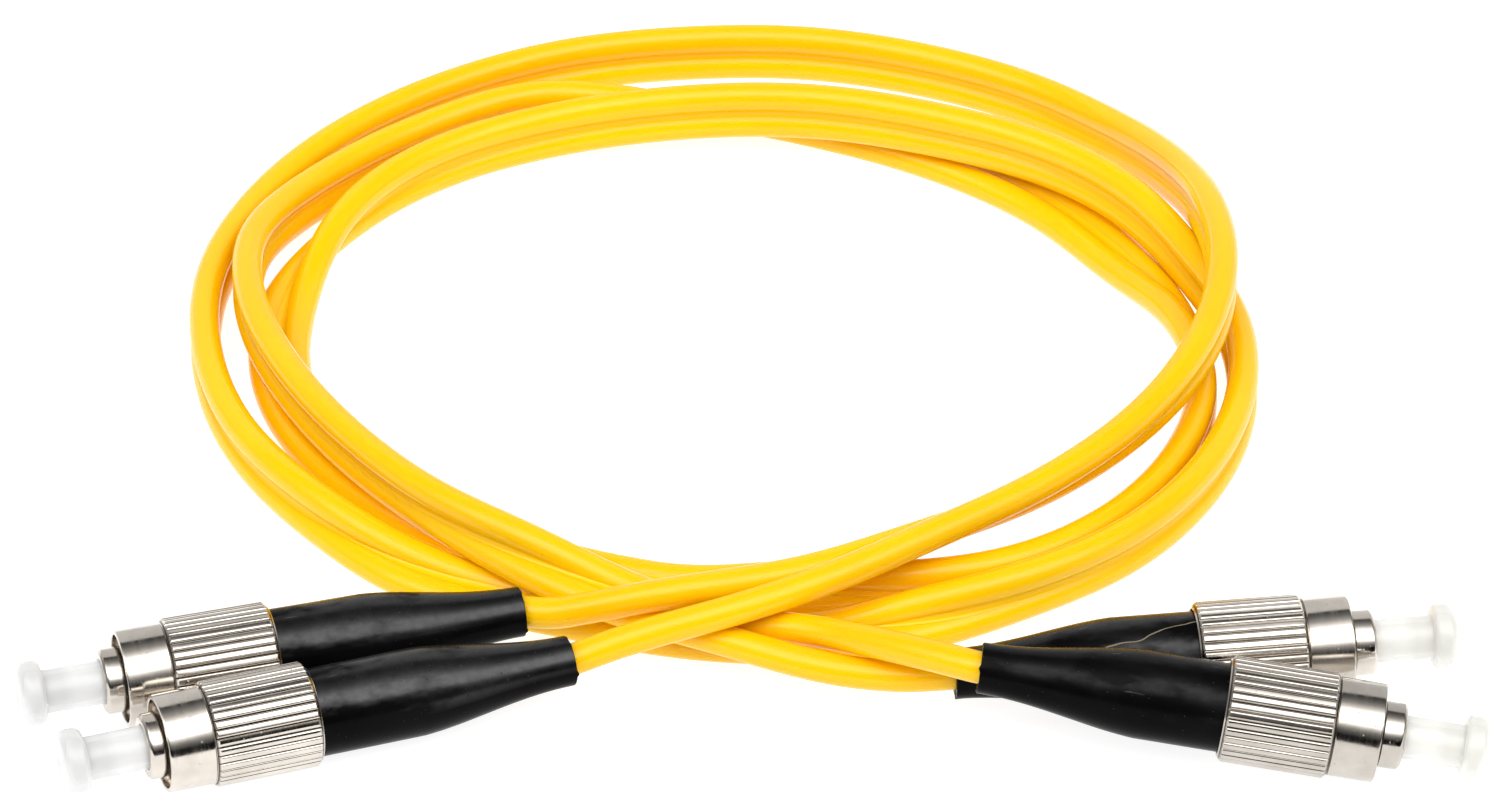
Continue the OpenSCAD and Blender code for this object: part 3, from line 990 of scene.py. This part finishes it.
def ferrule(plug, mat):
    """A ceramic rod with a cone and a small domed face in front."""
    rear, front, r = plug.span("ferrule")
    outline = [
        (rear, 0, 0),
        (rear, r, 0.15 * MM),
        (front - 0.75 * MM, r, 0.1 * MM),
        (front - 0.12 * MM, r - 0.42 * MM, 0.15 * MM),
        (front, 0.35 * MM, 0.1 * MM),
        (front, 0, 0),
    ]
    return turned(plug.end + "_ferrule_body", plug, outline, mat, 64, closed=False)


def spring_coil(plug, mat):
    """The ferrule's spring, with its two end turns closed up."""
    rear, front, r = plug.span("ferrule_spring")
    wire_r = 0.19 * MM
    coil_r = r - wire_r
    turns, steps = 6, 24
    closed = 2.2 * wire_r
    pitch = (front - rear - 2 * wire_r - 2 * closed) / (turns - 2)
    path = []
    for i in range(turns * steps + 1):
        turn = i / steps
        u = rear + wire_r + closed * (min(turn, 1) + max(turn - turns + 1, 0))
        u += pitch * max(min(turn - 1, turns - 2), 0)
        a = 2 * math.pi * turn
        path.append(plug.matrix @ Vector((coil_r * math.cos(a), coil_r * math.sin(a), u)))
    verts, faces = tube_mesh(path, wire_r, 10)
    return new_object(plug.end + "_spring_coil", verts, faces, mat, sharp=60)


# Brightness of each plug's nickel and of the sheen on its boot, in the order of ENDS. The nickel
# tones are painted light and shade: lighter and darker copies of one plating.
PLATING = (1.07, 0.98, 0.84, 1.1)
BOOT_SHEEN = (0.6, 0.52, 0.16, 0.4)
SCRATCHED_END = "right_rear"
CAP_TINTS = {"left": (0.81, 0.81, 0.81), "right": (0.88, 0.87, 0.825)}


def build_plugs():
    """The finer pieces of the four plugs, and looks for the pieces kept from the CAD model."""
    # Painted light and shade: each plug's nickel is a lighter or darker copy of the same plating.
    nickels = [nickel(f"nickel_{i}", tone) for i, tone in enumerate(PLATING)]
    knurled = [nickel(f"nickel_knurl_{i}", t, shaded_grooves=True) for i, t in enumerate(PLATING)]
    boots = [
        black_boot("boot_" + end, sheen, scratched=end == SCRATCHED_END)
        for end, sheen in zip(ENDS, BOOT_SHEEN)
    ]
    caps = {hand: milky_cap("cap_" + hand, tint) for hand, tint in CAP_TINTS.items()}
    white = ceramic()
    steel = plain_metal("turned_steel", (0.55, 0.55, 0.56), 0.28)
    wire = plain_metal("spring_wire", (0.48, 0.49, 0.52), 0.25, 3000)
    kept = {
        "ferrule_holder": steel,
        "fiber_buffer": white_plastic("buffer_white", (0.88, 0.88, 0.87)),
        "slip_washer": white_plastic("washer_white", (0.85, 0.85, 0.82)),
        "back_body": steel,
        "aramid_yarn": aramid(),
        "crimp_sleeve": steel,
    }
    for seed, (end, plug) in enumerate(plugs.items()):
        plate, cap = nickels[seed], caps[end.split("_")[0]]
        nut = coupling_nut(plug, seed, plate, knurled[seed])
        made = [
            (nut, "coupling_nut", end + "_nut", "nickel"),
            (boot(plug, seed, boots[seed]), "boot", "cord", "black_boot"),
            (plug_frame(plug, plate), "plug_frame", "cord", "nickel"),
            (frame_key(plug, plate), None, "cord", "nickel"),
            (dust_cap(plug, seed, cap), "dust_cap", end + "_cap", "milky_cap"),
            (ferrule(plug, white), "ferrule", end + "_ferrule_unit", "ceramic"),
        ]
        spring = spring_coil(plug, wire)
        made.append((spring, "ferrule_spring", "cord", "spring_steel"))
        for piece, node, body, slot in made:
            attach(piece, body)
            if node:
                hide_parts(end + "_" + node)
        rear, front, _ = plug.span("ferrule_spring")
        tuple(plug.point(rear))
        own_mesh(spring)
        for name, mat in kept.items():
            data = frame["nodes"][end + "_" + name].data
            data.materials.clear()
            data.materials.append(mat)


make_camera()
make_world()
make_stage()
bpy.context.scene.view_settings.view_transform = "Standard"
build_cord()
build_plugs()
